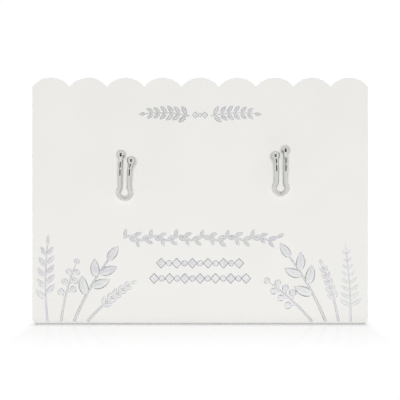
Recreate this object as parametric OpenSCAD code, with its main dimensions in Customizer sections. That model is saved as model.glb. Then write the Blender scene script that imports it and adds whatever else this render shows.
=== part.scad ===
// A pair of hoop charm earrings on a scalloped display card, which stands on a foot folded back
// from its lower edge. Each hoop is one bent wire: two legs of unequal height, a ball on each
// leg's end, and a round seat for a charm at the bottom. A post behind the taller ball passes
// through the card, and a clutch holds it from behind.
// Millimetres. Z is up and the card's front faces -Y. The origin is on the floor, at the middle
// of the box that holds the whole thing.

/* [Card] */
// Width of the card
card_w = 101.6; // [80:0.1:140]
// Height of the card from the floor to the tops of the scallops
card_h = 74.6; // [62:0.1:110]
// Thickness of the card stock
card_t = 0.5; // [0.3:0.05:1]
// Number of scallops along the top edge
scallop_n = 9; // [6:1:12]
// Height of a scallop over the notches beside it
scallop_h = 2.8; // [1.5:0.1:3.2]
// Radius of the upright panel's lower corners
corner_r = 0.7; // [0.5:0.1:3]
// Radius on the inside of the fold
fold_r = 0.15; // [0.1:0.05:1]
// Length of the foot from the card's front to its back edge
foot_l = 42; // [30:0.5:70]
// Radius of the foot's back corners
foot_corner_r = 3; // [1:0.5:8]

/* [Hoop] */
// Diameter of the wire
wire_d = 1.4; // [1:0.05:1.8]
// Distance between the middles of the two legs
leg_pitch = 2.74; // [2.2:0.02:3.4]
// Radius of the seat for a charm, to the middle of the wire
seat_r = 1.92; // [1.7:0.02:2.6]
// Radius of the bend from a leg into the seat, to the middle of the wire
neck_r = 1.45; // [1.1:0.05:2.5]
// Length of the straight part of a leg
leg_l = 3.1; // [1:0.05:6]
// Radius of the bend at the hoop's front, to the middle of the wire
front_r = 6.9; // [5.5:0.1:9]
// Angle by which the seat and the straight parts slope back to the card
lean = 22; // [12:1:32]
// Angle of the tall leg's bend above the foremost point
tall_arc = 38.5; // [33:0.5:50]
// Angle of the short leg's bend above the foremost point
short_arc = 21.5; // [10:0.5:26]
// Angle by which the left hoop's short leg is bent outwards
left_splay = 15; // [0:1:25]
// Angle by which the right hoop's short leg is bent outwards
right_splay = 10; // [0:1:25]
// Diameter of the ball on each leg's end
ball_d = 2.8; // [2.2:0.05:3.2]

/* [Post and clutch] */
// Diameter of the ear post
post_d = 0.9; // [0.7:0.05:1.1]
// Length of the post behind the card
post_l = 10; // [7:0.5:13]
// Length of the post's tapered tip
tip_l = 0.5; // [0.2:0.1:1.5]
// Diameter of the post's tip at its end
tip_d = 0.5; // [0.3:0.05:0.65]
// Diameter of the clutch's disc
disc_d = 5; // [4:0.1:8]
// Thickness of the clutch's disc
disc_t = 0.6; // [0.5:0.05:1.2]
// Diameter of the clutch's collar
collar_d = 2.6; // [2:0.1:3.6]
// Length of the clutch's collar behind the disc
collar_l = 2.6; // [1.5:0.1:5]
// Width of the bevels on the clutch's edges
clutch_bevel = 0.15; // [0.05:0.05:0.2]

/* [Places on the card] */
// Distance of the left hoop from the card's middle
left_x = 22.8; // [15:0.05:32]
// Height of the left seat's middle over the floor
left_z = 39.8; // [20:0.1:42]
// Angle by which the left hoop hangs over to the right, seen from the front
left_tilt = 1.8; // [-4:0.1:4]
// Distance of the right hoop from the card's middle
right_x = 24.3; // [15:0.05:32]
// Height of the right seat's middle over the floor
right_z = 41.2; // [20:0.1:42]
// Angle by which the right hoop hangs over to the right, seen from the front
right_tilt = 0; // [-4:0.1:4]

/* [Clearances] */
// Gap between the post and its hole in the card, all round
hole_gap = 0.15; // [0.05:0.05:0.4]
// Gap between the post and the clutch's bore, all round
bore_gap = 0.05; // [0.02:0.01:0.15]
// Gap between the card and the metal that lies against it
card_gap = 0.15; // [0.05:0.05:0.4]

/* [Hidden] */
$fn = 64;

// Scallops: arcs of a circle whose chord is the pitch
scallop_w = card_w / scallop_n;
scallop_r = (pow(scallop_w / 2, 2) + pow(scallop_h, 2)) / (2 * scallop_h);
scallop_z = card_h - scallop_r;

// The fold, which starts and ends where the panel's lower corners do
fold_out_r = fold_r + card_t;
fold_w = card_w - 2 * corner_r;

// The sloping plane of the seat and the straight parts, measured up from the seat's middle:
// where the neck bends meet the straight parts, and where those meet the front bend
neck_angle = acos((leg_pitch / 2 + neck_r) / (seat_r + neck_r));
neck_top = (seat_r + neck_r) * sin(neck_angle);
leg_top = neck_top + leg_l;

// Beads a hair thicker than the wire close the joints between its bent and straight stretches
joint_d = wire_d + 0.01;

// The seat's middle lies in front of the card by enough to keep its back clear of the card
seat_y = -(card_gap + wire_d / 2 + seat_r * sin(lean));

// Middle of the ball on a leg's end, from the seat's middle, for a leg on the +X side
function ball_at(arc, splay) =
  let (bend = lean + arc,
       inward = front_r * (1 - cos(bend)),
       up = leg_top + front_r * sin(bend))
  [leg_pitch / 2 + inward * sin(splay),
   inward * cos(splay) * cos(lean) - up * sin(lean),
   inward * cos(splay) * sin(lean) + up * cos(lean)];

tall_ball = ball_at(tall_arc, 0);

// Foremost points of the wire and of the balls, for the middle of the whole
wire_front = seat_y - leg_top * sin(lean) - front_r * (1 - cos(lean)) - wire_d / 2;
ball_y = min([for (splay = [left_splay, right_splay]) ball_at(short_arc, splay)[1]]);
ball_front = seat_y + min(tall_ball[1], ball_y) - ball_d / 2;
middle_y = (foot_l + min(wire_front, ball_front)) / 2;

// The two hoops: place across, place up, the side of the tall leg, the short leg's splay, and
// the tilt of the whole
LEFT = [-left_x, left_z, -1, left_splay, left_tilt];
RIGHT = [right_x, right_z, 1, right_splay, right_tilt];

// Moves what is drawn with the card's front at Y = 0 to its place over the origin
module placed() {
  translate([0, -middle_y, 0]) children();
}

// Puts what is drawn for a hoop with its tall leg on the +X side at that hoop's place
module at_hoop(place) {
  placed() translate([place[0], 0, place[1]]) rotate([0, place[4], 0])
    if (place[2] < 0) mirror([1, 0, 0]) children();
    else children();
}

// Upright panel: straight sides, rounded lower corners and a scalloped top
module panel_outline() {
  intersection() {
    union() {
      translate([-card_w / 2, fold_out_r]) square([card_w, scallop_z - fold_out_r]);
      for (i = [0 : scallop_n - 1])
        translate([(i + 0.5) * scallop_w - card_w / 2, scallop_z]) circle(r = scallop_r);
    }
    union() {
      translate([-card_w / 2, fold_out_r + corner_r]) square([card_w, card_h]);
      translate([-fold_w / 2, fold_out_r]) square([fold_w, corner_r]);
      for (side = [-1, 1])
        translate([side * fold_w / 2, fold_out_r + corner_r]) circle(r = corner_r);
    }
  }
}

// Foot: a plain flap with rounded back corners
module foot_outline() {
  straight = foot_l - fold_out_r - foot_corner_r;
  translate([-fold_w / 2, fold_out_r]) square([fold_w, straight]);
  translate([-fold_w / 2 + foot_corner_r, fold_out_r + straight])
    square([fold_w - 2 * foot_corner_r, foot_corner_r]);
  for (side = [-1, 1])
    translate([side * (fold_w / 2 - foot_corner_r), fold_out_r + straight])
      circle(r = foot_corner_r);
}

// Clearance hole for a hoop's post
module post_hole(place) {
  at_hoop(place) translate([tall_ball[0], -1, tall_ball[2]])
    rotate([-90, 0, 0]) cylinder(d = post_d + 2 * hole_gap, h = card_t + 2);
}

module card() {
  color("whitesmoke") difference() {
    placed() {
      translate([0, card_t, 0]) rotate([90, 0, 0]) linear_extrude(card_t) panel_outline();
      translate([0, fold_out_r, fold_out_r]) rotate([-90, 0, -90])
        rotate_extrude(angle = 90) translate([fold_r, -fold_w / 2]) square([card_t, fold_w]);
      linear_extrude(card_t) foot_outline();
    }
    post_hole(LEFT);
    post_hole(RIGHT);
  }
}

// Wire bent round the Z axis, from the +X side on
module bend(radius, angle) {
  rotate_extrude(angle = angle) translate([radius, 0]) circle(d = wire_d);
}

// Seat with its two neck bends and the straight parts, in its own sloping plane
module seat_and_legs() {
  rotate([90, 0, 0]) {
    rotate([0, 0, 180 - neck_angle]) bend(seat_r, 180 + 2 * neck_angle);
    translate([leg_pitch / 2 + neck_r, neck_top]) rotate([0, 0, 180]) bend(neck_r, neck_angle);
    translate([-leg_pitch / 2 - neck_r, neck_top]) rotate([0, 0, -neck_angle])
      bend(neck_r, neck_angle);
    for (angle = [neck_angle, 180 - neck_angle])
      rotate([0, 0, angle]) translate([seat_r, 0]) sphere(d = joint_d);
  }
  for (side = [-1, 1]) translate([side * leg_pitch / 2, 0, 0]) {
    translate([0, 0, neck_top]) cylinder(d = wire_d, h = leg_l);
    for (z = [neck_top, leg_top]) translate([0, 0, z]) sphere(d = joint_d);
  }
}

// Bent top of a leg on the +X side, with its ball
module leg_end(arc, splay) {
  translate([leg_pitch / 2, 0, leg_top]) rotate([0, 0, -splay]) translate([0, front_r, 0])
    rotate([90, 0, -90]) {
      bend(front_r, lean + arc);
      rotate([0, 0, lean + arc]) translate([front_r, 0]) sphere(d = ball_d);
    }
}

// Post, from the middle of the taller ball straight back through the card
module post() {
  reach = card_t + post_l - tip_l - seat_y - tall_ball[1];
  translate(tall_ball) rotate([-90, 0, 0]) {
    cylinder(d = post_d, h = reach);
    translate([0, 0, reach]) cylinder(d1 = post_d, d2 = tip_d, h = tip_l);
  }
}

module hoop(place) {
  color("silver") at_hoop(place) translate([0, seat_y, 0]) {
    rotate([lean, 0, 0]) {
      seat_and_legs();
      leg_end(tall_arc, 0);
      mirror([1, 0, 0]) leg_end(short_arc, place[3]);
    }
    post();
  }
}

// Clutch: a disc against the card's back, and a collar that holds the post
module clutch(place) {
  bore_r = post_d / 2 + bore_gap;
  disc_r = disc_d / 2;
  collar_r = collar_d / 2;
  end = disc_t + collar_l;
  color("silver") at_hoop(place)
    translate([tall_ball[0], card_t + card_gap, tall_ball[2]]) rotate([-90, 0, 0])
      rotate_extrude() polygon([
        [bore_r, 0], [disc_r - clutch_bevel, 0], [disc_r, clutch_bevel],
        [disc_r, disc_t - clutch_bevel], [disc_r - clutch_bevel, disc_t], [collar_r, disc_t],
        [collar_r, end - clutch_bevel], [collar_r - clutch_bevel, end],
        [bore_r + clutch_bevel, end], [bore_r, end - clutch_bevel]
      ]);
}

module left_hoop() { hoop(LEFT); }
module right_hoop() { hoop(RIGHT); }
module left_clutch() { clutch(LEFT); }
module right_clutch() { clutch(RIGHT); }

card();
left_hoop();
right_hoop();
left_clutch();
right_clutch();
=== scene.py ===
import math

import bmesh
import bpy
from mathutils import Matrix, Vector


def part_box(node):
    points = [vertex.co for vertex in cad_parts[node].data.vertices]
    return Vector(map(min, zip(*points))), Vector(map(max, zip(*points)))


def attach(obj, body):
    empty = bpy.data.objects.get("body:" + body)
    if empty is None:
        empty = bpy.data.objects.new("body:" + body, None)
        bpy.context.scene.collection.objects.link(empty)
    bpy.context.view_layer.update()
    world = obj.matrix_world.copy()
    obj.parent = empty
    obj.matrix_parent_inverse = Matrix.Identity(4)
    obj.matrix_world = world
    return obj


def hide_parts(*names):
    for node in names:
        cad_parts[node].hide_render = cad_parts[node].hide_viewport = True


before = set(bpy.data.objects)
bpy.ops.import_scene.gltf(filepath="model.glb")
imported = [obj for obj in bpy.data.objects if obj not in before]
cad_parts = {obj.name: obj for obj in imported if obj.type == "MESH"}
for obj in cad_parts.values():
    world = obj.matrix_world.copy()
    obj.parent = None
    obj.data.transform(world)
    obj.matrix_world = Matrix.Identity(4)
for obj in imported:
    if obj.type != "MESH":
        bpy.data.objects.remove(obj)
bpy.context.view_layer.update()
print("frame loaded:", sorted(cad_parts))

mm = 0.001
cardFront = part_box("card")[0].y     # the printed face of the card
noiseRange = (0.3, 0.7)     # a noise texture's values lie mostly between these


def linear(hexColour):
    values = [int(hexColour[i:i + 2], 16) / 255 for i in (1, 3, 5)]
    return [v / 12.92 if v <= 0.04045 else ((v + 0.055) / 1.055) ** 2.4 for v in values] + [1.0]


def addNode(tree, kind, inputs=None, **settings):
    # an input is a plain value, another node's socket, or a node that stands for its first output
    made = tree.nodes.new(kind)
    for name, value in settings.items():
        setattr(made, name, value)
    for key, value in (inputs or {}).items():
        source = value.outputs[0] if isinstance(value, bpy.types.Node) else value
        if isinstance(source, bpy.types.NodeSocket):
            tree.links.new(source, made.inputs[key])
        else:
            made.inputs[key].default_value = source
    return made


def newTree(name, inputs):
    tree = bpy.data.node_groups.new(name, "GeometryNodeTree")
    tree.interface.new_socket(name="Geometry", in_out="OUTPUT", socket_type="NodeSocketGeometry")
    for socketName, kind in inputs.items():
        tree.interface.new_socket(name=socketName, in_out="INPUT", socket_type="NodeSocket" + kind)
    return tree


def newObject(name, mesh):
    made = bpy.data.objects.new(name, mesh)
    bpy.context.scene.collection.objects.link(made)
    return made


def settle(made):
    # the evaluated result becomes the object's own plain mesh
    bpy.context.view_layer.update()
    depsgraph = bpy.context.evaluated_depsgraph_get()
    shaped = made.evaluated_get(depsgraph)
    mesh = bpy.data.meshes.new_from_object(shaped, preserve_all_data_layers=True, depsgraph=depsgraph)
    old = made.data
    made.modifiers.clear()
    made.data = mesh
    bpy.data.meshes.remove(old)
    mesh.name = made.name
    return made


def growAlong(name, points, tree, values):
    # a line of points goes through a Geometry Nodes tree and comes back as a plain mesh
    mesh = bpy.data.meshes.new(name)
    mesh.from_pydata(points, [(i, i + 1) for i in range(len(points) - 1)], [])
    made = newObject(name, mesh)
    modifier = made.modifiers.new(tree.name, "NODES")
    modifier.node_group = tree
    for item in tree.interface.items_tree:
        if item.in_out == "INPUT" and item.name in values:
            modifier[item.identifier] = values[item.name]
    return settle(made)


def joinPieces(name, made):
    with bpy.context.temp_override(active_object=made[0], selected_editable_objects=made):
        bpy.ops.object.join()
    made[0].name = name
    made[0].data.name = name
    return made[0]


def setRamp(ramp, places, colours):
    elements = ramp.color_ramp.elements
    while len(elements) < len(places):
        elements.new(places[len(elements) - 1])
    for element, position, colour in zip(elements, places, colours):
        element.position = position
        element.color = linear(colour)


def newMaterial(name):
    material = bpy.data.materials.new(name)
    material.use_nodes = True
    material.node_tree.nodes.clear()
    return material


boardValues = {"dark": "#EBEAE7", "light": "#EEEDEA", "toneRange": (0.45, 1.0),
               "roughness": 0.72, "cloudScale": 70.0, "fibreScale": 1100.0, "fibreTurn": 0.35,
               "fibreStretch": 3.5, "fibreShare": 0.45, "fibreBump": 0.25, "fibreDepth": 0.00002,
               "toothScale": 5200.0, "toothBump": 0.3, "toothDepth": 0.00001}


def makeBleachedBoard(values):
    # Solid bleached paperboard, calendered and left uncoated: a warm white with no gloss, whose
    # pressed fibres give a fine tooth and a faint cloudiness a centimetre or two across
    material = newMaterial("bleachedPaperboard")
    tree = material.node_tree
    place = addNode(tree, "ShaderNodeTexCoord").outputs["Object"]
    cloud = addNode(tree, "ShaderNodeTexNoise",
                    {"Vector": place, "Scale": values["cloudScale"], "Detail": 2.0})
    # fibres are about 1 mm long and a quarter of that apart
    fibreMap = addNode(tree, "ShaderNodeMapping",
                       {"Vector": place, "Rotation": (0.0, values["fibreTurn"], 0.0),
                        "Scale": (1.0, 1.0, values["fibreStretch"])})
    fibre = addNode(tree, "ShaderNodeTexNoise", {"Vector": fibreMap, "Scale": values["fibreScale"],
                                                 "Detail": 3.0, "Roughness": 0.6})
    tooth = addNode(tree, "ShaderNodeTexNoise",
                    {"Vector": place, "Scale": values["toothScale"], "Detail": 2.0})
    tone = addNode(tree, "ShaderNodeMath", {0: fibre, 1: values["fibreShare"], 2: cloud},
                   operation="MULTIPLY_ADD")
    ramp = addNode(tree, "ShaderNodeValToRGB", {"Fac": tone})
    setRamp(ramp, values["toneRange"], (values["dark"], values["light"]))
    pressed = addNode(tree, "ShaderNodeBump", {"Strength": values["fibreBump"], "Height": fibre,
                                               "Distance": values["fibreDepth"]})
    bump = addNode(tree, "ShaderNodeBump", {"Strength": values["toothBump"], "Height": tooth,
                                            "Distance": values["toothDepth"], "Normal": pressed})
    shader = addNode(tree, "ShaderNodeBsdfPrincipled",
                     {"Base Color": ramp, "Roughness": values["roughness"], "IOR": 1.45,
                      "Specular IOR Level": 0.25, "Normal": bump})
    addNode(tree, "ShaderNodeOutputMaterial", {"Surface": shader})
    return material


platingValues = {
    # the worn colour is a painted highlight: paler plating where a seat is worn satin
    "brightSilverPlating": {
        "dark": "#CECECC", "light": "#D4D4D2", "wornAndHighlight": "#F0F0EE", "hazeScale": 420.0,
        "lowRoughness": 0.05, "highRoughness": 0.09, "wornRoughness": 0.85,
        "scratchScale": 6000.0, "scratchBump": 0.12, "scratchDepth": 0.000004},
    "barrelFinishedPlating": {
        "dark": "#CECECC", "light": "#D4D4D2", "wornAndHighlight": "#E4E4E2", "hazeScale": 420.0,
        "lowRoughness": 0.14, "highRoughness": 0.24, "wornRoughness": 0.34,
        "scratchScale": 2500.0, "scratchBump": 0.12, "scratchDepth": 0.00001},
}


def makePlating(name, values):
    # Silver-tone plating over brass. The hoops were polished first, so they mirror the room, and
    # the clutches only tumbled, so they mirror it softly. What stays of that work is a faint haze
    # in patches and hairlines finer than a tenth of a mm; where a charm slides to and fro in a
    # seat, fine scuffs have turned it satin, and its paler colour there is a painted highlight
    material = newMaterial(name)
    tree = material.node_tree
    place = addNode(tree, "ShaderNodeTexCoord").outputs["Object"]
    haze = addNode(tree, "ShaderNodeTexNoise",
                   {"Vector": place, "Scale": values["hazeScale"], "Detail": 3.0})
    spread = addNode(tree, "ShaderNodeMapRange",
                     {"Value": haze, "From Min": noiseRange[0], "From Max": noiseRange[1],
                      "To Min": values["lowRoughness"], "To Max": values["highRoughness"]})
    wearAndHighlight = addNode(tree, "ShaderNodeAttribute", attribute_name="wearAndHighlight").outputs["Fac"]
    satin = addNode(tree, "ShaderNodeMapRange", {"Value": wearAndHighlight, "To Min": spread,
                                                 "To Max": values["wornRoughness"]})
    tone = addNode(tree, "ShaderNodeValToRGB", {"Fac": haze})
    setRamp(tone, noiseRange, (values["dark"], values["light"]))
    # towards the seat the colour turns paler, a painted highlight over the satin wear
    toneWithHighlight = addNode(tree, "ShaderNodeMix", {0: wearAndHighlight, 6: tone, 7: linear(values["wornAndHighlight"])},
                      data_type="RGBA").outputs[2]
    hairlines = addNode(tree, "ShaderNodeTexNoise",
                        {"Vector": place, "Scale": values["scratchScale"], "Detail": 4.0,
                         "Roughness": 0.7})
    bump = addNode(tree, "ShaderNodeBump", {"Strength": values["scratchBump"],
                                            "Distance": values["scratchDepth"],
                                            "Height": hairlines})
    shader = addNode(tree, "ShaderNodeBsdfPrincipled",
                     {"Base Color": toneWithHighlight, "Metallic": 1.0, "Roughness": satin, "Normal": bump})
    addNode(tree, "ShaderNodeOutputMaterial", {"Surface": shader})
    return material


# the pressed colour is painted shade along the motifs' edges and veins; the rim and vein spans say
# where it lies, and the vein value how dark it is on a vein
foilLook = {"tints": ("#EAE9EF", "#F3F2F4", "#ECEFED"), "tintPlaces": (0.38, 0.5, 0.62),
            "pressed": "#6E6E72", "rim": (0.55, 0.95), "vein": (0.02, 0.14), "veinShade": 0.7,
            "metallic": 0.35, "lowRoughness": 0.3, "highRoughness": 0.42, "sheenScale": 150.0,
            "grainScale": 2600.0, "grainBump": 0.3, "grainDepth": 0.000012}


def makeStampedFoil(values):
    # Hot-stamped silver foil: a satin film that takes on the board's grain, with a faint lilac
    # and green cast that drifts over it. Along every edge and vein a darker line round a paler field
    # is painted shade, strongest where the design is finest
    material = newMaterial("hotStampedSilverFoil")
    tree = material.node_tree
    place = addNode(tree, "ShaderNodeTexCoord").outputs["Object"]
    across = addNode(tree, "ShaderNodeAttribute", attribute_name="across").outputs["Fac"]
    side = addNode(tree, "ShaderNodeMath", {0: across}, operation="ABSOLUTE")
    # from 0 on the middle line to 1 at the edge
    rim = addNode(tree, "ShaderNodeMapRange",
                  {"Value": side, "From Min": values["rim"][0], "From Max": values["rim"][1]},
                  interpolation_type="SMOOTHSTEP")
    vein = addNode(tree, "ShaderNodeMapRange",
                   {"Value": side, "From Min": values["vein"][0], "From Max": values["vein"][1],
                    "To Min": values["veinShade"], "To Max": 0.0},
                   interpolation_type="SMOOTHSTEP")
    # the line along edges and veins is painted shade, as strong as each motif's stored share
    line = addNode(tree, "ShaderNodeMath", {0: rim, 1: vein}, operation="MAXIMUM")
    edgeShade = addNode(tree, "ShaderNodeAttribute", attribute_name="edgeShade").outputs["Fac"]
    edgeShaded = addNode(tree, "ShaderNodeMath", {0: line, 1: edgeShade}, operation="MULTIPLY")
    grain = addNode(tree, "ShaderNodeTexNoise",
                    {"Vector": place, "Scale": values["grainScale"], "Detail": 3.0})
    sheen = addNode(tree, "ShaderNodeTexNoise",
                    {"Vector": place, "Scale": values["sheenScale"], "Detail": 2.0})
    field = addNode(tree, "ShaderNodeValToRGB", {"Fac": sheen})
    setRamp(field, values["tintPlaces"], values["tints"])
    tone = addNode(tree, "ShaderNodeMix", {0: edgeShaded, 6: field, 7: linear(values["pressed"])},
                   data_type="RGBA").outputs[2]
    dull = addNode(tree, "ShaderNodeMapRange",
                   {"Value": grain, "From Min": noiseRange[0], "From Max": noiseRange[1],
                    "To Min": values["lowRoughness"], "To Max": values["highRoughness"]})
    bump = addNode(tree, "ShaderNodeBump", {"Strength": values["grainBump"], "Height": grain,
                                            "Distance": values["grainDepth"]})
    shader = addNode(tree, "ShaderNodeBsdfPrincipled",
                     {"Base Color": tone, "Metallic": values["metallic"], "Roughness": dull,
                      "Normal": bump})
    addNode(tree, "ShaderNodeOutputMaterial", {"Surface": shader})
    return material


bleachedBoard = makeBleachedBoard(boardValues)
polishedPlating, barrelPlating = [makePlating(*item) for item in platingValues.items()]
stampedFoil = makeStampedFoil(foilLook)
print("materials made")


# The hoops: one bent wire each, with a ball on each end and a post behind the taller ball
hoopValues = {
    "wireDiameter": 1.4, "legPitch": 2.74, "seatRadius": 1.92, "neckRadius": 1.45,
    "legLength": 3.1, "frontRadius": 6.9, "lean": 22.0, "tallArc": 38.5, "shortArc": 21.5,
    "ballDiameter": 2.8, "solderFillet": 0.5, "sides": 40, "bendStep": 2.5, "ballSteps": 32,
    "ballEntry": 0.96, "legSteps": 5, "neckSteps": 10, "seatSteps": 64,
    # over this length the seat is worn satin and painted paler as a highlight
    "wornAndHighlightLength": 5.0, "rubbedLength": 0.35, "rubbedWearAndHighlight": 0.3,
    # radius of the solder round the post and how far behind the ball's middle
    "flare": ((0, 0.9), (0.68, 0.9), (0.70, 1.2), (0.60, 1.31), (0.52, 1.42), (0.47, 1.52)),
    "flareEnd": 1.64, "postDiameter": 0.9, "postReach": 10.5, "postSides": 32,
    "tipLength": 0.5, "tipDiameter": 0.5, "tipBevel": (0.03, 0.04), "gapToCard": 0.15,
    "sharpAngle": 35.0, "mergeDistance": 0.001,
}
hoopPlaces = {
    "left_hoop": {"x": -22.8, "z": 39.8, "side": -1, "splay": 15.0, "tilt": 1.8},
    "right_hoop": {"x": 24.3, "z": 41.2, "side": 1, "splay": 10.0, "tilt": 0.0},
}


def wireTree():
    tree = newTree("bentWire", {"Geometry": "Geometry", "Wire diameter": "Float",
                                "Ball diameter": "Float", "Solder fillet": "Float",
                                "Worn and highlight place": "Float", "Worn and highlight length": "Float",
                                "Rubbed length": "Float", "Rubbed wear": "Float",
                                "Sides": "Int", "Finish": "Material"})
    given = addNode(tree, "NodeGroupInput").outputs
    line = addNode(tree, "GeometryNodeMeshToCurve", {"Mesh": given["Geometry"]})
    along = addNode(tree, "GeometryNodeSplineParameter").outputs["Length"]
    total = addNode(tree, "GeometryNodeSplineLength").outputs["Length"]
    wire = addNode(tree, "ShaderNodeMath", {0: given["Wire diameter"], 1: 0.5}, operation="MULTIPLY")
    ball = addNode(tree, "ShaderNodeMath", {0: given["Ball diameter"], 1: 0.5}, operation="MULTIPLY")
    # how far a point lies past the middle of the nearer ball, less than 0 on the wire's side
    pastStart = addNode(tree, "ShaderNodeMath", {0: ball, 1: along}, operation="SUBTRACT")
    toEnd = addNode(tree, "ShaderNodeMath", {0: total, 1: ball}, operation="SUBTRACT")
    pastEnd = addNode(tree, "ShaderNodeMath", {0: along, 1: toEnd}, operation="SUBTRACT")
    past = addNode(tree, "ShaderNodeMath", {0: pastStart, 1: pastEnd}, operation="MAXIMUM")
    # the wire swells into the ball through a fillet of solder
    squared = addNode(tree, "ShaderNodeMath", {0: past, 1: past}, operation="MULTIPLY")
    ballSquared = addNode(tree, "ShaderNodeMath", {0: ball, 1: ball}, operation="MULTIPLY")
    left = addNode(tree, "ShaderNodeMath", {0: ballSquared, 1: squared}, operation="SUBTRACT")
    inside = addNode(tree, "ShaderNodeMath", {0: left, 1: 0.0}, operation="MAXIMUM")
    sphere = addNode(tree, "ShaderNodeMath", {0: inside}, operation="SQRT")
    blended = addNode(tree, "ShaderNodeMath", {0: wire, 1: sphere, 2: given["Solder fillet"]},
                      operation="SMOOTH_MAX")
    outside = addNode(tree, "FunctionNodeCompare", {0: past, 1: 0.0}, operation="GREATER_THAN")
    radius = addNode(tree, "GeometryNodeSwitch", {"Switch": outside, "False": blended,
                                                  "True": sphere}, input_type="FLOAT")
    # towards the seat's bottom the wire is worn satin and painted paler as a highlight; at the very
    # bottom a charm's ring keeps one spot rubbed to a mirror, with less of both
    off = addNode(tree, "ShaderNodeMath", {0: along, 1: given["Worn and highlight place"]}, operation="SUBTRACT")
    reach = addNode(tree, "ShaderNodeMath", {0: off}, operation="ABSOLUTE")
    wornAndHighlight = addNode(tree, "ShaderNodeMapRange",
                   {"Value": reach, "From Max": given["Worn and highlight length"], "To Min": 1.0, "To Max": 0.0},
                   interpolation_type="SMOOTHSTEP")
    rubbed = addNode(tree, "ShaderNodeMapRange",
                     {"Value": reach, "From Max": given["Rubbed length"],
                      "To Min": given["Rubbed wear"], "To Max": 1.0},
                     interpolation_type="SMOOTHSTEP")
    wearAndHighlight = addNode(tree, "ShaderNodeMath", {0: wornAndHighlight, 1: rubbed}, operation="MULTIPLY")
    marked = addNode(tree, "GeometryNodeStoreNamedAttribute",
                     {"Geometry": line, "Name": "wearAndHighlight", "Value": wearAndHighlight},
                     data_type="FLOAT", domain="POINT")
    ring = addNode(tree, "GeometryNodeCurvePrimitiveCircle", {"Resolution": given["Sides"],
                                                              "Radius": 1.0})
    sweep = addNode(tree, "GeometryNodeCurveToMesh",
                    {"Curve": marked, "Profile Curve": ring, "Scale": radius, "Fill Caps": True})
    closed = addNode(tree, "GeometryNodeMergeByDistance",
                     {"Geometry": sweep, "Distance": hoopValues["mergeDistance"] * mm})
    plain = addNode(tree, "GeometryNodeRealizeInstances", {0: closed})
    finished = addNode(tree, "GeometryNodeSetMaterial", {0: plain, "Material": given["Finish"]})
    addNode(tree, "NodeGroupOutput", {0: finished})
    return tree


def bendPoint(values, splay, angle):
    # a point on the front bend of a leg on the +X side
    inward = values["frontRadius"] * (1 - math.cos(angle))
    return Vector((values["legPitch"] / 2 + inward * math.sin(splay), inward * math.cos(splay),
                   values["legTop"] + values["frontRadius"] * math.sin(angle)))


def legEnd(values, arc, splay):
    # the front bend of a leg on the +X side, then straight through its ball to the far pole
    ballRadius = values["ballDiameter"] / 2
    whole = math.radians(values["lean"] + arc)
    middle = bendPoint(values, splay, whole)
    into = values["ballEntry"] * ballRadius
    entry = whole - 2 * math.asin(into / (2 * values["frontRadius"]))
    steps = math.ceil(math.degrees(entry) / values["bendStep"])
    points = [bendPoint(values, splay, entry * i / steps) for i in range(1, steps)]
    onward = (middle - bendPoint(values, splay, entry)).normalized()
    first = math.acos(into / ballRadius)
    for i in range(values["ballSteps"] + 1):
        angle = first + (math.pi - first) * i / values["ballSteps"]
        points.append(middle - onward * ballRadius * math.cos(angle))
    return points, middle


def flatArc(centreX, centreZ, radius, start, end, steps):
    angles = [math.radians(start + (end - start) * i / steps) for i in range(steps + 1)]
    return [Vector((centreX + radius * math.cos(a), 0, centreZ + radius * math.sin(a)))
            for a in angles]


def hoopPath(values, splay):
    # from the short leg's ball down round the seat and up to the tall leg's ball, which is on +X
    half = values["legPitch"] / 2
    bendX = half + values["neckRadius"]
    reach = values["seatRadius"] + values["neckRadius"]
    neckAngle = math.degrees(math.acos(bendX / reach))
    neckTop = math.sqrt(reach ** 2 - bendX ** 2)
    values["legTop"] = neckTop + values["legLength"]
    tall, ballMiddle = legEnd(values, values["tallArc"], 0.0)
    short, _ = legEnd(values, values["shortArc"], math.radians(splay))
    path = [Vector((-p.x, p.y, p.z)) for p in reversed(short)]
    legSteps = values["legSteps"]
    heights = [neckTop + values["legLength"] * i / legSteps for i in range(legSteps + 1)]
    path += [Vector((-half, 0, z)) for z in reversed(heights[1:])]
    path += flatArc(-bendX, neckTop, values["neckRadius"], 0, -neckAngle, values["neckSteps"])
    path += flatArc(0, 0, values["seatRadius"], 180 - neckAngle, 360 + neckAngle,
                    values["seatSteps"])[1:-1]
    path += flatArc(bendX, neckTop, values["neckRadius"], 180 + neckAngle, 180,
                    values["neckSteps"])
    path += [Vector((half, 0, z)) for z in heights[1:]]
    return path + tall, ballMiddle


def lathe(name, profile, middle, sides):
    # rings of (radius, Y) round a line along Y; a radius of 0 closes an end
    shape = bmesh.new()
    rings = []
    for radius, y in profile:
        count = sides if radius > 0 else 1
        turns = [2 * math.pi * i / sides for i in range(count)]
        rings.append([shape.verts.new((middle.x + radius * math.cos(a), y,
                                       middle.z + radius * math.sin(a))) for a in turns])
    for near, far in zip(rings, rings[1:]):
        for i in range(sides):
            corners = [near[i % len(near)], near[(i + 1) % len(near)],
                       far[(i + 1) % len(far)], far[i % len(far)]]
            shape.faces.new(list(dict.fromkeys(corners)))
    bmesh.ops.recalc_face_normals(shape, faces=shape.faces)
    mesh = bpy.data.meshes.new(name)
    shape.to_mesh(mesh)
    shape.free()
    return newObject(name, mesh)


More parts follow.
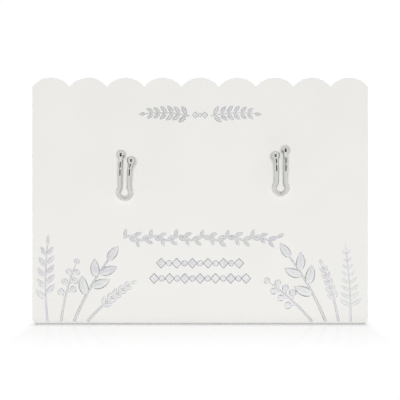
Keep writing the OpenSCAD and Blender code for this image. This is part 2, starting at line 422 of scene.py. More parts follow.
def makeHoop(nodeName, place, tree):
    values = dict(hoopValues)
    path, ballMiddle = hoopPath(values, place["splay"])
    leanTurn = Matrix.Rotation(math.radians(values["lean"]), 4, "X")
    tiltTurn = Matrix.Rotation(math.radians(place["tilt"]), 4, "Y")
    seatY = cardFront - mm * (values["gapToCard"] + values["wireDiameter"] / 2
                              + values["seatRadius"] * math.sin(math.radians(values["lean"])))
    handed = Matrix.Diagonal((place["side"] * mm, mm, mm, 1))
    hung = Matrix.Translation((place["x"] * mm, seatY, place["z"] * mm))
    toWorld = hung @ tiltTurn @ handed @ leanTurn
    points = [toWorld @ p for p in path]
    bottom = min(range(len(points)), key=lambda i: points[i].z)
    toSeat = sum((b - a).length for a, b in zip(points[:bottom], points[1:bottom + 1]))
    hoop = growAlong(nodeName + "Wire", points, tree,
                     {"Wire diameter": values["wireDiameter"] * mm,
                      "Ball diameter": values["ballDiameter"] * mm,
                      "Solder fillet": values["solderFillet"] * mm,
                      "Worn and highlight place": toSeat, "Worn and highlight length": values["wornAndHighlightLength"] * mm,
                      "Rubbed length": values["rubbedLength"] * mm,
                      "Rubbed wear": values["rubbedWearAndHighlight"],
                      "Sides": values["sides"], "Finish": polishedPlating})
    middle = toWorld @ ballMiddle
    postRadius = values["postDiameter"] / 2
    tipRadius = values["tipDiameter"] / 2
    # the solder flares out where the post leaves the ball
    flare = [*values["flare"], (postRadius, values["flareEnd"])]
    end = cardFront / mm + values["postReach"]
    tipStart = end - values["tipLength"]
    across, along = values["tipBevel"]
    tip = [(postRadius, tipStart), (tipRadius + across, end - along), (tipRadius - across, end),
           (0, end)]
    profile = [(r * mm, middle.y + y * mm) for r, y in flare] + [(r * mm, y * mm) for r, y in tip]
    post = lathe("post", profile, middle, values["postSides"])
    joint = hoop.modifiers.new("solder", "BOOLEAN")
    joint.operation = "UNION"
    joint.solver = "EXACT"
    joint.object = post
    settle(hoop)
    bpy.data.objects.remove(post)
    mesh = hoop.data
    mesh.materials.clear()
    mesh.materials.append(polishedPlating)
    mesh.polygons.foreach_set("material_index", [0] * len(mesh.polygons))
    mesh.polygons.foreach_set("use_smooth", [True] * len(mesh.polygons))
    mesh.set_sharp_from_angle(angle=math.radians(values["sharpAngle"]))
    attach(hoop, "root")
    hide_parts(nodeName)
    return hoop


bentWire = wireTree()
for nodeName, place in hoopPlaces.items():
    hoop = makeHoop(nodeName, place, bentWire)
    print(hoop.name, "has", len(hoop.data.polygons), "faces")


# The foil on the card: leafy corners, a garland, a vine and two rules of beads
# relief and top width as shares of a motif's half width; sink, layer and merge distance in mm; the
# leaf and stem shade values are shares of full painted shade along edges and veins
foilValues = {"relief": 0.06, "topWidth": 1.3, "edgeShade": 0.2, "stemEdgeShade": 1.0, "bladeSteps": 10,
              "stalkOverlap": 0.12, "stalkShare": 0.6, "unevenSize": 0.05, "unevenTurn": 0.06,
              "closing": -0.25, "sink": 0.006, "layer": 0.004, "mergeDistance": 0.0005}


def sprigTree():
    tree = newTree("foilSprig", {
        "Geometry": "Geometry", "Stem width": "Float", "Stem tip": "Float", "Leaves": "Int",
        "Leaf length": "Float", "Leaf width": "Float", "Leaf point": "Float",
        "Leaf bias": "Float", "Leaf curl": "Float", "Leaf angle": "Float", "Stalk": "Float",
        "First leaf": "Float", "Last leaf": "Float", "Alternate": "Float", "Tip size": "Float",
        "Seed": "Int", "Relief": "Float", "Edge shade": "Float", "Stem edge shade": "Float",
        "Blade steps": "Int", "Foil": "Material"})
    given = addNode(tree, "NodeGroupInput").outputs
    factor = addNode(tree, "GeometryNodeSplineParameter").outputs["Factor"]
    index = addNode(tree, "GeometryNodeInputIndex")
    closeness = foilValues["mergeDistance"] * mm

    # cross-section two units wide: flat under the foil, with a field that is narrower on top
    section = addNode(tree, "GeometryNodeCurvePrimitiveQuadrilateral",
                      {"Height": given["Relief"], "Bottom Width": 2.0,
                       "Top Width": foilValues["topWidth"], "Offset": 0.0}, mode="TRAPEZOID")
    sunk = addNode(tree, "ShaderNodeMath", {0: given["Relief"], 1: -0.5}, operation="MULTIPLY")
    footing = addNode(tree, "ShaderNodeCombineXYZ", {"Y": sunk})
    turned = addNode(tree, "GeometryNodeTransform",
                     {"Geometry": section, "Rotation": (0.0, 0.0, math.pi), "Translation": footing})
    sideways = addNode(tree, "ShaderNodeSeparateXYZ", {0: addNode(tree, "GeometryNodeInputPosition")})
    profile = addNode(tree, "GeometryNodeStoreNamedAttribute",
                      {"Geometry": turned, "Name": "across", "Value": sideways},
                      data_type="FLOAT", domain="POINT")

    # the stem, thinner towards its tip
    path = addNode(tree, "GeometryNodeMeshToCurve", {"Mesh": given["Geometry"]})
    halfStem = addNode(tree, "ShaderNodeMath", {0: given["Stem width"], 1: 0.5}, operation="MULTIPLY")
    loss = addNode(tree, "ShaderNodeMath", {0: given["Stem tip"], 1: 1.0}, operation="SUBTRACT")
    thinning = addNode(tree, "ShaderNodeMath", {0: factor, 1: loss, 2: 1.0}, operation="MULTIPLY_ADD")
    stemSize = addNode(tree, "ShaderNodeMath", {0: halfStem, 1: thinning}, operation="MULTIPLY")
    level = addNode(tree, "GeometryNodeSetCurveNormal", {"Curve": path}, mode="Z_UP")
    stem = addNode(tree, "GeometryNodeCurveToMesh",
                   {"Curve": level, "Profile Curve": profile, "Scale": stemSize, "Fill Caps": True})

    # a leaf, grain or berry swells and closes again; bias moves its widest place to the stem
    biased = addNode(tree, "ShaderNodeMath", {0: factor, 1: given["Leaf bias"]}, operation="POWER")
    rest = addNode(tree, "ShaderNodeMath", {0: 1.0, 1: biased}, operation="SUBTRACT")
    product = addNode(tree, "ShaderNodeMath", {0: biased, 1: rest}, operation="MULTIPLY")
    arch = addNode(tree, "ShaderNodeMath", {0: product, 1: 4.0}, operation="MULTIPLY", use_clamp=True)
    swell = addNode(tree, "ShaderNodeMath", {0: arch, 1: given["Leaf point"]}, operation="POWER")
    halfLeaf = addNode(tree, "ShaderNodeMath", {0: given["Leaf width"], 1: 0.5}, operation="MULTIPLY")
    bladeSize = addNode(tree, "ShaderNodeMath", {0: swell, 1: halfLeaf}, operation="MULTIPLY")
    leafEnd = addNode(tree, "ShaderNodeMath", {0: given["Stalk"], 1: given["Leaf length"]},
                      operation="ADD")
    bladeStart = addNode(tree, "ShaderNodeCombineXYZ", {"X": given["Stalk"]})
    bladeEnd = addNode(tree, "ShaderNodeCombineXYZ", {"X": leafEnd})
    midway = addNode(tree, "ShaderNodeMath", {0: given["Leaf length"], 1: 0.5, 2: given["Stalk"]},
                     operation="MULTIPLY_ADD")
    stalkReach = addNode(tree, "ShaderNodeMath",
                         {0: given["Leaf length"], 1: foilValues["stalkOverlap"],
                          2: given["Stalk"]},
                         operation="MULTIPLY_ADD")
    stalkEnd = addNode(tree, "ShaderNodeCombineXYZ", {"X": stalkReach})
    stalkLine = addNode(tree, "GeometryNodeCurvePrimitiveLine", {"End": stalkEnd})
    stalkLevel = addNode(tree, "GeometryNodeSetCurveNormal", {"Curve": stalkLine}, mode="Z_UP")
    stalkSize = addNode(tree, "ShaderNodeMath", {0: halfStem, 1: foilValues["stalkShare"]},
                        operation="MULTIPLY")
    stalk = addNode(tree, "GeometryNodeCurveToMesh", {"Curve": stalkLevel, "Profile Curve": profile,
                                                      "Scale": stalkSize, "Fill Caps": True})

    # each leaf's place from 0 at the first to 1 at the tip, its size, and how it turns
    last = addNode(tree, "ShaderNodeMath", {0: given["Leaves"], 1: 1.0}, operation="SUBTRACT")
    gaps = addNode(tree, "ShaderNodeMath", {0: last, 1: 1.0}, operation="MAXIMUM")
    share = addNode(tree, "ShaderNodeMath", {0: index, 1: gaps}, operation="DIVIDE")
    less = addNode(tree, "ShaderNodeMath", {0: given["Tip size"], 1: 1.0}, operation="SUBTRACT")
    evenSize = addNode(tree, "ShaderNodeMath", {0: share, 1: less, 2: 1.0}, operation="MULTIPLY_ADD")
    chance = addNode(tree, "FunctionNodeRandomValue", {2: -1.0, 3: 1.0, "Seed": given["Seed"]},
                     data_type="FLOAT").outputs[1]
    uneven = addNode(tree, "ShaderNodeMath", {0: chance, 1: foilValues["unevenSize"], 2: 1.0},
                     operation="MULTIPLY_ADD")
    leafSize = addNode(tree, "ShaderNodeMath", {0: evenSize, 1: uneven}, operation="MULTIPLY")
    # leaves close up towards the tip
    closing = addNode(tree, "ShaderNodeMath", {0: share, 1: foilValues["closing"], 2: 1.0},
                      operation="MULTIPLY_ADD")
    opening = addNode(tree, "ShaderNodeMath", {0: chance, 1: foilValues["unevenTurn"], 2: closing},
                      operation="MULTIPLY_ADD")
    turn = addNode(tree, "ShaderNodeMath", {0: given["Leaf angle"], 1: opening}, operation="MULTIPLY")
    beforeTip = addNode(tree, "ShaderNodeMath", {0: last, 1: 0.5}, operation="SUBTRACT")
    isTip = addNode(tree, "FunctionNodeCompare", {0: index, 1: beforeTip}, operation="GREATER_THAN")
    isPair = addNode(tree, "FunctionNodeBooleanMath", {0: isTip}, operation="NOT")
    # leaves that alternate lag half a gap behind on one side
    span = addNode(tree, "ShaderNodeMath", {0: given["Last leaf"], 1: given["First leaf"]},
                   operation="SUBTRACT")
    gap = addNode(tree, "ShaderNodeMath", {0: span, 1: gaps}, operation="DIVIDE")
    halfGap = addNode(tree, "ShaderNodeMath", {0: gap, 1: 0.5}, operation="MULTIPLY")
    lagged = addNode(tree, "ShaderNodeMath",
                     {0: halfGap, 1: given["Alternate"], 2: given["First leaf"]},
                     operation="MULTIPLY_ADD")
    stemClosed = addNode(tree, "GeometryNodeMergeByDistance", {"Geometry": stem,
                                                               "Distance": closeness})
    # the stem's edges are painted with shade this strongly
    stemEdgeShaded = addNode(tree, "GeometryNodeStoreNamedAttribute",
                         {"Geometry": stemClosed, "Name": "edgeShade", "Value": given["Stem edge shade"]},
                         data_type="FLOAT", domain="POINT")
    grown = addNode(tree, "GeometryNodeJoinGeometry", {0: stemEdgeShaded})
    for side, start, chosen in ((1.0, given["First leaf"], isPair), (-1.0, lagged, isPair),
                                (0.0, given["First leaf"], isTip)):
        bow = addNode(tree, "ShaderNodeMath", {0: given["Leaf length"], 1: given["Leaf curl"]},
                      operation="MULTIPLY")
        bowed = addNode(tree, "ShaderNodeMath", {0: bow, 1: side}, operation="MULTIPLY")
        bladeMiddle = addNode(tree, "ShaderNodeCombineXYZ", {"X": midway, "Y": bowed})
        bladeLine = addNode(tree, "GeometryNodeCurveQuadraticBezier",
                            {"Resolution": given["Blade steps"], "Start": bladeStart,
                             "Middle": bladeMiddle, "End": bladeEnd})
        bladeLevel = addNode(tree, "GeometryNodeSetCurveNormal", {"Curve": bladeLine}, mode="Z_UP")
        blade = addNode(tree, "GeometryNodeCurveToMesh",
                        {"Curve": bladeLevel, "Profile Curve": profile, "Scale": bladeSize,
                         "Fill Caps": True})
        leaf = addNode(tree, "GeometryNodeJoinGeometry", {0: blade})
        tree.links.new(stalk.outputs[0], leaf.inputs[0])
        leafClosed = addNode(tree, "GeometryNodeMergeByDistance", {"Geometry": leaf,
                                                                   "Distance": closeness})
        # the leaf's edges and vein are painted with shade this strongly
        leafEdgeShaded = addNode(tree, "GeometryNodeStoreNamedAttribute",
                             {"Geometry": leafClosed, "Name": "edgeShade", "Value": given["Edge shade"]},
                             data_type="FLOAT", domain="POINT")
        part = addNode(tree, "GeometryNodeTrimCurve", {"Curve": path, 2: start,
                                                       3: given["Last leaf"]})
        spots = addNode(tree, "GeometryNodeCurveToPoints",
                        {"Curve": part, "Count": given["Leaves"]}).outputs
        onward = addNode(tree, "FunctionNodeAlignRotationToVector",
                         {"Vector": spots["Tangent"]}, axis="X", pivot_axis="Z")
        swing = addNode(tree, "ShaderNodeMath", {0: turn, 1: side}, operation="MULTIPLY")
        swung = addNode(tree, "ShaderNodeCombineXYZ", {"Z": swing})
        aside = addNode(tree, "FunctionNodeEulerToRotation", {0: swung})
        facing = addNode(tree, "FunctionNodeRotateRotation", {0: onward, 1: aside},
                         rotation_space="LOCAL")
        leaves = addNode(tree, "GeometryNodeInstanceOnPoints",
                         {"Points": spots["Points"], "Selection": chosen, "Instance": leafEdgeShaded,
                          "Rotation": facing, "Scale": leafSize})
        tree.links.new(leaves.outputs[0], grown.inputs[0])
    plain = addNode(tree, "GeometryNodeRealizeInstances", {0: grown})
    finished = addNode(tree, "GeometryNodeSetMaterial", {0: plain, "Material": given["Foil"]})
    addNode(tree, "NodeGroupOutput", {0: finished})
    return tree


# each way of growing: sizes in mm, angles in degrees, places along the stem from 0 to 1
sprigStyles = {
    "fern": {"Stem width": 0.7, "Stem tip": 0.45, "Leaves": 9, "Leaf length": 3.9,
             "Leaf width": 1.15, "Leaf point": 0.85, "Leaf bias": 0.8, "Leaf curl": 0.14,
             "Leaf angle": 54.0, "First leaf": 0.22, "Tip size": 0.4},
    "olive": {"Stem width": 0.7, "Stem tip": 0.6, "Leaves": 6, "Leaf length": 4.2,
              "Leaf width": 1.5, "Leaf point": 0.95, "Leaf bias": 0.85, "Leaf curl": 0.08,
              "Leaf angle": 42.0, "First leaf": 0.3, "Tip size": 0.8, "Alternate": 1.0},
    "broad": {"Stem width": 0.8, "Stem tip": 0.6, "Leaves": 3, "Leaf length": 6.2,
              "Leaf width": 3.0, "Leaf point": 0.85, "Leaf bias": 0.8, "Leaf curl": 0.1,
              "Leaf angle": 42.0, "First leaf": 0.42, "Tip size": 0.85, "Alternate": 1.0},
    "grain": {"Stem width": 0.7, "Stem tip": 0.6, "Leaves": 6, "Leaf length": 2.7,
              "Leaf width": 1.2, "Leaf point": 0.75, "Leaf bias": 0.9, "Leaf curl": 0.1,
              "Leaf angle": 34.0, "First leaf": 0.4, "Tip size": 0.8},
    "berry": {"Stem width": 0.7, "Stem tip": 0.6, "Leaves": 4, "Leaf length": 2.1,
              "Leaf width": 2.1, "Leaf point": 0.5, "Leaf angle": 44.0, "Stalk": 1.5,
              "First leaf": 0.42, "Tip size": 0.85, "Alternate": 1.0},
    "garland": {"Stem width": 0.5, "Stem tip": 0.7, "Leaves": 7, "Leaf length": 3.2,
                "Leaf width": 1.25, "Leaf point": 0.85, "Leaf bias": 0.85, "Leaf curl": 0.12,
                "Leaf angle": 50.0, "First leaf": 0.08, "Tip size": 0.75, "Edge shade": 1.0},
    "vine": {"Stem width": 0.6, "Stem tip": 1.0, "Leaves": 19, "Leaf length": 2.8,
             "Leaf width": 1.1, "Leaf point": 0.75, "Leaf bias": 0.85, "Leaf curl": 0.12,
             "Leaf angle": 48.0, "First leaf": 0.01, "Tip size": 1.0, "Alternate": 1.0,
             "Edge shade": 0.75},
}
lengthNames = ("Stem width", "Leaf length", "Leaf width", "Stalk")


def arcPoints(x, z, heading, length, curl, steps=24):
    # a stem that starts at x, z and turns evenly by curl degrees over its length
    points = [Vector((x, z, 0)) * mm]
    for i in range(steps):
        angle = math.radians(heading + curl * (i + 0.5) / steps)
        step = Vector((math.cos(angle), math.sin(angle), 0)) * (length / steps * mm)
        points.append(points[-1] + step)
    return points


def growSprig(style, points, seed):
    values = {"Leaf bias": 1.0, "Leaf curl": 0.0, "Stalk": 0.0, "Last leaf": 1.0, "Alternate": 0.0,
              "Seed": seed, "Edge shade": foilValues["edgeShade"], "Stem edge shade": foilValues["stemEdgeShade"],
              "Relief": foilValues["relief"], "Blade steps": foilValues["bladeSteps"],
              "Foil": stampedFoil}
    values.update(sprigStyles[style])
    for name in lengthNames:
        values[name] *= mm
    values["Leaf angle"] = math.radians(values["Leaf angle"])
    return growAlong("sprig", points, foilSprig, values)


def pressOnCard(name, made):
    # what was drawn flat stands up against the card's face, its foot a hair under the surface and
    # each motif a hair over the one before it
    for layer, motif in enumerate(made):
        motif.data.transform(Matrix.Translation((0, 0, layer * foilValues["layer"] * mm)))
    piece = joinPieces(name, made)
    stand = Matrix.Rotation(math.radians(90), 4, "X")
    lift = Matrix.Translation((0, cardFront + foilValues["sink"] * mm, 0))
    piece.data.transform(lift @ stand)
    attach(piece, "root")
    print(name, "has", len(piece.data.polygons), "faces")
    return piece


# a dome's rim is painted with shade and its field is not; both marks are shares of the way from its
# middle to its edge
domeValues = {"topShare": 0.62, "rimMark": 1.0, "fieldMark": 0.4,
              "lozenge": (4, (0.95, 1.0, 1.0)), "bead": (16, (0.55, 0.55, 1.0))}


def beadTree(values):
    # lozenges with round beads between them, all low domes with a few faces each
    tree = newTree("foilBeads", {"Geometry": "Geometry", "Beads": "Int", "Bead size": "Float",
                                 "Relief": "Float", "Edge shade": "Float", "Foil": "Material"})
    given = addNode(tree, "NodeGroupInput").outputs
    index = addNode(tree, "GeometryNodeInputIndex")
    path = addNode(tree, "GeometryNodeMeshToCurve", {"Mesh": given["Geometry"]})
    spots = addNode(tree, "GeometryNodeCurveToPoints", {"Curve": path, "Count": given["Beads"]})
    odd = addNode(tree, "ShaderNodeMath", {0: index, 1: 2.0}, operation="MODULO")
    radius = addNode(tree, "ShaderNodeMath", {0: given["Bead size"], 1: 0.5}, operation="MULTIPLY")
    domeTop = addNode(tree, "ShaderNodeMath", {0: radius, 1: values["topShare"]},
                      operation="MULTIPLY")
    depth = addNode(tree, "ShaderNodeMath", {0: radius, 1: given["Relief"]}, operation="MULTIPLY")
    halfway = addNode(tree, "ShaderNodeMath", {0: depth, 1: 0.5}, operation="MULTIPLY")
    rows = addNode(tree, "GeometryNodeJoinGeometry")
    for (corners, scale), chosen in ((values["lozenge"], "LESS_THAN"),
                                     (values["bead"], "GREATER_THAN")):
        dome = addNode(tree, "GeometryNodeMeshCone", {"Vertices": corners, "Radius Top": domeTop,
                                                      "Radius Bottom": radius, "Depth": depth})
        # the rim of a dome is its lower ring, its field is the upper one
        spot = addNode(tree, "GeometryNodeInputPosition")
        high = addNode(tree, "ShaderNodeSeparateXYZ", {0: spot}).outputs[2]
        low = addNode(tree, "FunctionNodeCompare", {0: high, 1: halfway}, operation="LESS_THAN")
        across = addNode(tree, "ShaderNodeMapRange", {"Value": low, "To Min": values["fieldMark"],
                                                      "To Max": values["rimMark"]})
        marked = addNode(tree, "GeometryNodeStoreNamedAttribute",
                         {"Geometry": dome, "Name": "across", "Value": across},
                         data_type="FLOAT", domain="POINT")
        pick = addNode(tree, "FunctionNodeCompare", {0: odd, 1: 0.5}, operation=chosen)
        beads = addNode(tree, "GeometryNodeInstanceOnPoints",
                        {"Points": spots, "Selection": pick, "Instance": marked, "Scale": scale})
        tree.links.new(beads.outputs[0], rows.inputs[0])
    # the bead rims are painted with shade this strongly
    edgeShaded = addNode(tree, "GeometryNodeStoreNamedAttribute",
                     {"Geometry": rows, "Name": "edgeShade", "Value": given["Edge shade"]},
                     data_type="FLOAT", domain="POINT")
    plain = addNode(tree, "GeometryNodeRealizeInstances", {0: edgeShaded})
    finished = addNode(tree, "GeometryNodeSetMaterial", {0: plain, "Material": given["Foil"]})
    addNode(tree, "NodeGroupOutput", {0: finished})
    return tree


def growBeads(row):
    line = [Vector((x, row["height"], 0)) * mm for x in (-row["halfLength"], row["halfLength"])]
    return growAlong("beads", line, foilBeads,
                     {"Beads": row["beads"], "Bead size": row["size"] * mm,
                      "Relief": row["relief"], "Edge shade": row["edgeShade"], "Foil": stampedFoil})


foilSprig = sprigTree()
foilBeads = beadTree(domeValues)

# style, place across and height of the foot, heading, length, curl, in mm and degrees
sprays = {
    "foil_left_spray": [
        ("olive", -46.2, 0.75, 96.0, 23.2, -12.0),
        ("berry", -42.1, 0.75, 83.0, 16.7, -14.0),
        ("broad", -38.2, 0.75, 68.0, 21.2, -14.0),
        ("grain", -34.1, 0.75, 50.0, 17.3, -18.0),
    ],
    "foil_right_spray": [
        ("fern", 45.6, 0.75, 90.0, 22.6, 8.0),
        ("grain", 41.9, 0.75, 100.0, 17.6, 12.0),
        ("broad", 38.0, 0.75, 112.0, 22.2, 14.0),
        ("berry", 33.9, 0.75, 130.0, 16.3, 14.0),
    ],
}
for name, spray in sprays.items():
    grown = [growSprig(style, arcPoints(*shape), seed) for seed, (style, *shape) in enumerate(spray)]
    pressOnCard(name, grown)

garlandValues = {"start": 3.2, "height": 63.0, "heading": 12.0, "length": 13.2, "curl": -18.0,
                 "sides": ((1, 11), (-1, 12)),      # side and seed
                 "knot": {"halfLength": 1.45, "height": 63.3, "beads": 3, "size": 2.1,
                          "relief": 0.12, "edgeShade": 1.0}}
garland = []
for side, seed in garlandValues["sides"]:
    heading = garlandValues["heading"] if side > 0 else 180 - garlandValues["heading"]
    line = arcPoints(side * garlandValues["start"], garlandValues["height"], heading,
                     garlandValues["length"], side * garlandValues["curl"])
    garland.append(growSprig("garland", line, seed))
garland.append(growBeads(garlandValues["knot"]))
pressOnCard("foil_garland", garland)

vineValues = {"halfLength": 23.2, "height": 26.0, "swing": 0.75, "wave": 7.7, "steps": 120,
              "seed": 21}
vineLine = []
for i in range(vineValues["steps"] + 1):
    x = vineValues["halfLength"] * (2 * i / vineValues["steps"] - 1)
    z = vineValues["height"] + vineValues["swing"] * math.sin(2 * math.pi * x / vineValues["wave"])
    vineLine.append(Vector((x, z, 0)) * mm)
pressOnCard("foil_vine", [growSprig("vine", vineLine, vineValues["seed"])])

beadRows = [
    {"halfLength": 11.8, "height": 18.4, "beads": 11, "size": 3.3, "relief": 0.1, "edgeShade": 0.95},
    {"halfLength": 13.9, "height": 13.8, "beads": 13, "size": 3.3, "relief": 0.1, "edgeShade": 0.95},
]
pressOnCard("foil_bead_rules", [growBeads(row) for row in beadRows])

# the CAD pieces that stay, with their finishes
for name, finish in (("card", bleachedBoard), ("left_clutch", barrelPlating),
                     ("right_clutch", barrelPlating)):
    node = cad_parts[name]
    if not node.material_slots:
        node.data.materials.append(finish)
    for materialSlot in node.material_slots:
        materialSlot.material = finish
print("finishes set")


# The white light table, the room round it and the lights; lengths in mm
tableValues = {"front": 75.0, "back": 320.0, "side": 320.0, "tint": "#FAFAFA",
               "roughness": 0.03, "fade": 80.0, "gloss": 0.31,
               "crease": (-3.0, 13.0), "underFold": (0.0, 0.8), "besideCard": (49.5, 52.5),
               "behindCard": (24.0, 40.0), "seenLevel": 1.02, "bounceLevel": 0.5, "underLevel": 0.34}


def makeTable(values):
    mesh = bpy.data.meshes.new("lightTable")
    side = values["side"] * mm
    front = cardFront - values["front"] * mm
    back = values["back"] * mm
    mesh.from_pydata([(-side, front, 0), (side, front, 0), (side, back, 0), (-side, back, 0)],
                     [], [(0, 1, 2, 3)])
    table = newObject("lightTable", mesh)
    # White acrylic lit from below: it glows, and near the card it also mirrors and takes shade
    material = newMaterial("litWhiteAcrylic")
    tree = material.node_tree
    place = addNode(tree, "ShaderNodeSeparateXYZ",
                    {0: addNode(tree, "ShaderNodeTexCoord").outputs["Object"]})
    away = addNode(tree, "ShaderNodeMath", {0: cardFront, 1: place.outputs[1]}, operation="SUBTRACT")
    aside = addNode(tree, "ShaderNodeMath", {0: place}, operation="ABSOLUTE")
    # near the fold it mirrors more than it glows, so the crease under the card stays dark
    fades = []
    for distance, (start, end), strength in (
            (away, (0.0, values["fade"]), values["gloss"]), (away, values["crease"], 1.0),
            (away, values["underFold"], 1.0), (aside, values["besideCard"], 1.0),
            (place.outputs[1], values["behindCard"], 1.0)):
        fades.append(addNode(tree, "ShaderNodeMapRange",
                             {"Value": distance, "From Min": start * mm, "From Max": end * mm,
                              "To Min": strength, "To Max": 0.0},
                             interpolation_type="SMOOTHSTEP"))
    wide, crease, underFold, beside, behind = fades
    near = addNode(tree, "ShaderNodeMath", {0: wide, 1: crease}, operation="MAXIMUM")
    atCard = addNode(tree, "ShaderNodeMath", {0: beside, 1: behind}, operation="MULTIPLY")
    seen = addNode(tree, "ShaderNodeMath", {0: near, 1: atCard}, operation="MULTIPLY")
    shaded = addNode(tree, "ShaderNodeMath", {0: underFold, 1: atCard}, operation="MULTIPLY")
    gloss = addNode(tree, "ShaderNodeBsdfPrincipled", {"Base Color": linear(values["tint"]),
                                                       "Roughness": values["roughness"]})
    # the light it gives to the board is even up to the fold, and less right under it
    ray = addNode(tree, "ShaderNodeLightPath").outputs
    bounce = addNode(tree, "ShaderNodeMapRange", {"Value": shaded, "To Min": values["bounceLevel"],
                                                  "To Max": values["underLevel"]})
    level = addNode(tree, "ShaderNodeMapRange", {"Value": ray["Is Diffuse Ray"],
                                                 "To Min": values["seenLevel"], "To Max": bounce})
    glow = addNode(tree, "ShaderNodeEmission", {"Color": linear("#FFFFFF"), "Strength": level})
    share = addNode(tree, "ShaderNodeMapRange", {"Value": ray["Is Diffuse Ray"], "To Min": seen,
                                                 "To Max": 0.0})
    mixed = addNode(tree, "ShaderNodeMixShader", {0: share, 1: glow, 2: gloss})
    addNode(tree, "ShaderNodeOutputMaterial", {"Surface": mixed})
    mesh.materials.append(material)


# the dark gap where the camera stands reaches so far aside and up, as tangents from the -Y axis
roomValues = {"gapAside": 0.6, "gapUp": 0.67, "gapEdge": 0.06, "gapRise": -0.03,
              "lowLevel": 0.0, "highLevel": 0.05, "bandHalf": 0.08, "bandStart": -0.14,
              "bandEdge": 0.03, "bandClear": 0.95, "nearStart": 0.4, "nearEnd": 0.8,
              "farLevel": 0.93, "nearLevel": 1.22, "backTurn": 0.3, "frontLevel": 0.28,
              "backLevel": 1.0, "horizon": 0.02, "floorLevel": 0.3, "seenLevel": 1.02}


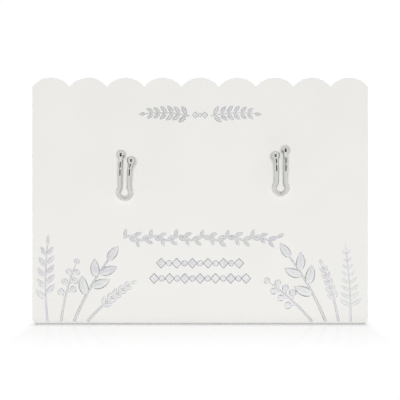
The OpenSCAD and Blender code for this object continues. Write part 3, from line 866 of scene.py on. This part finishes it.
def makeRoom(values):
    # a white room that gives the board only a low even light, because most of it comes from the
    # soft light over the camera; bright metal mirrors the room with the dark gap, and in that the
    # pale edge of a far table at eye level, which starts just left of the camera
    world = bpy.data.worlds.new("whiteRoom")
    world.use_nodes = True
    tree = world.node_tree
    tree.nodes.clear()
    toward = addNode(tree, "ShaderNodeSeparateXYZ",
                     {0: addNode(tree, "ShaderNodeTexCoord").outputs["Generated"]}).outputs
    forward = addNode(tree, "ShaderNodeMath", {0: toward[1], 1: -1.0}, operation="MULTIPLY")
    # kept above 0, because it divides the next two
    ahead = addNode(tree, "ShaderNodeMath", {0: forward, 1: 0.001}, operation="MAXIMUM")
    aside, up = [addNode(tree, "ShaderNodeMath", {0: toward[axis], 1: ahead}, operation="DIVIDE")
                 for axis in (0, 2)]
    inside = []
    for slope, centre, half in ((aside, 0.0, values["gapAside"]),
                                (up, values["gapRise"], values["gapUp"])):
        moved = addNode(tree, "ShaderNodeMath", {0: slope, 1: centre}, operation="SUBTRACT")
        off = addNode(tree, "ShaderNodeMath", {0: moved}, operation="ABSOLUTE")
        inside.append(addNode(tree, "ShaderNodeMapRange",
                              {"Value": off, "From Min": half - values["gapEdge"],
                               "From Max": half + values["gapEdge"], "To Min": 1.0, "To Max": 0.0}))
    whole = addNode(tree, "ShaderNodeMath", {0: inside[0], 1: inside[1]}, operation="MULTIPLY")
    height = addNode(tree, "ShaderNodeMath", {0: up}, operation="ABSOLUTE")
    band = addNode(tree, "ShaderNodeMapRange",
                   {"Value": height, "From Min": values["bandHalf"] - values["bandEdge"],
                    "From Max": values["bandHalf"] + values["bandEdge"],
                    "To Min": values["bandClear"], "To Max": 0.0})
    begun = addNode(tree, "ShaderNodeMapRange",
                    {"Value": aside, "From Min": values["bandStart"] - values["bandEdge"],
                     "From Max": values["bandStart"] + values["bandEdge"]})
    pale = addNode(tree, "ShaderNodeMath", {0: band, 1: begun}, operation="MULTIPLY")
    kept = addNode(tree, "ShaderNodeMath", {0: 1.0, 1: pale}, operation="SUBTRACT")
    gap = addNode(tree, "ShaderNodeMath", {0: whole, 1: kept}, operation="MULTIPLY")
    dark = addNode(tree, "ShaderNodeMapRange",
                   {"Value": toward[2], "From Min": -values["bandHalf"],
                    "From Max": values["bandHalf"], "To Min": values["lowLevel"],
                    "To Max": values["highLevel"]})
    ray = addNode(tree, "ShaderNodeLightPath").outputs
    bright = addNode(tree, "ShaderNodeMapRange",
                     {"Value": forward, "From Min": values["nearStart"],
                      "From Max": values["nearEnd"], "To Min": values["farLevel"],
                      "To Max": values["nearLevel"]})
    mirrored = addNode(tree, "ShaderNodeMapRange", {"Value": gap, "To Min": bright, "To Max": dark})
    # the board's back has no soft light, so the room behind it is brighter; the light table goes
    # on below the horizon
    above = addNode(tree, "ShaderNodeMapRange",
                    {"Value": toward[1], "From Min": 0.0, "From Max": values["backTurn"],
                     "To Min": values["frontLevel"], "To Max": values["backLevel"]})
    given = addNode(tree, "ShaderNodeMapRange",
                    {"Value": toward[2], "From Min": -values["horizon"],
                     "From Max": values["horizon"], "To Min": values["floorLevel"],
                     "To Max": above})
    lit = addNode(tree, "ShaderNodeMapRange", {"Value": ray["Is Glossy Ray"], "To Min": given,
                                               "To Max": mirrored})
    level = addNode(tree, "ShaderNodeMapRange", {"Value": ray["Is Camera Ray"], "To Min": lit,
                                                 "To Max": values["seenLevel"]})
    background = addNode(tree, "ShaderNodeBackground", {"Color": linear("#FFFFFF"),
                                                        "Strength": level})
    addNode(tree, "ShaderNodeOutputWorld", {"Surface": background})
    bpy.context.scene.world = world


# places and sizes in mm, spreads in degrees; bright metal mirrors the room, not these
lightValues = {
    "softFront": {"place": (0, -720, 90), "aim": (0, -19, 40), "size": 240, "watts": 1.37,
                  "spread": 120},
    "softLeft": {"place": (-190, -150, 130), "aim": (-26, -19, 44), "size": 60, "watts": 0.002,
                 "spread": 70},
    "softRight": {"place": (190, -150, 130), "aim": (26, -19, 44), "size": 60, "watts": 0.002,
                  "spread": 70},
}


def addLight(name, values):
    light = bpy.data.lights.new(name, "AREA")
    light.shape = "DISK"
    light.size = values["size"] * mm
    light.energy = values["watts"]
    light.spread = math.radians(values["spread"])
    lamp = bpy.data.objects.new(name, light)
    bpy.context.scene.collection.objects.link(lamp)
    place = Vector(values["place"])
    lamp.location = place * mm
    lamp.rotation_euler = (Vector(values["aim"]) - place).to_track_quat("-Z", "Y").to_euler()
    lamp.visible_glossy = False


makeTable(tableValues)
makeRoom(roomValues)
for name, values in lightValues.items():
    addLight(name, values)
print("studio built")


# The camera at the photograph's angle: level, straight on, with a long lens; lengths in mm
cameraValues = {"lens": 100.0, "sensor": 36.0, "frameWidth": 121.1, "x": -0.045, "height": 37.55,
                "clipStart": 10.0, "clipEnd": 10000.0}
cameraData = bpy.data.cameras.new("photoCamera")
cameraData.lens = cameraValues["lens"]
cameraData.sensor_width = cameraValues["sensor"]
cameraData.clip_start = cameraValues["clipStart"] * mm
cameraData.clip_end = cameraValues["clipEnd"] * mm
camera = bpy.data.objects.new("photoCamera", cameraData)
bpy.context.scene.collection.objects.link(camera)
distance = cameraValues["frameWidth"] * cameraValues["lens"] / cameraValues["sensor"]
camera.location = (cameraValues["x"] * mm, cardFront - distance * mm, cameraValues["height"] * mm)
camera.rotation_euler = (math.radians(90), 0, 0)
bpy.context.scene.camera = camera
bpy.context.scene.view_settings.view_transform = "Standard"
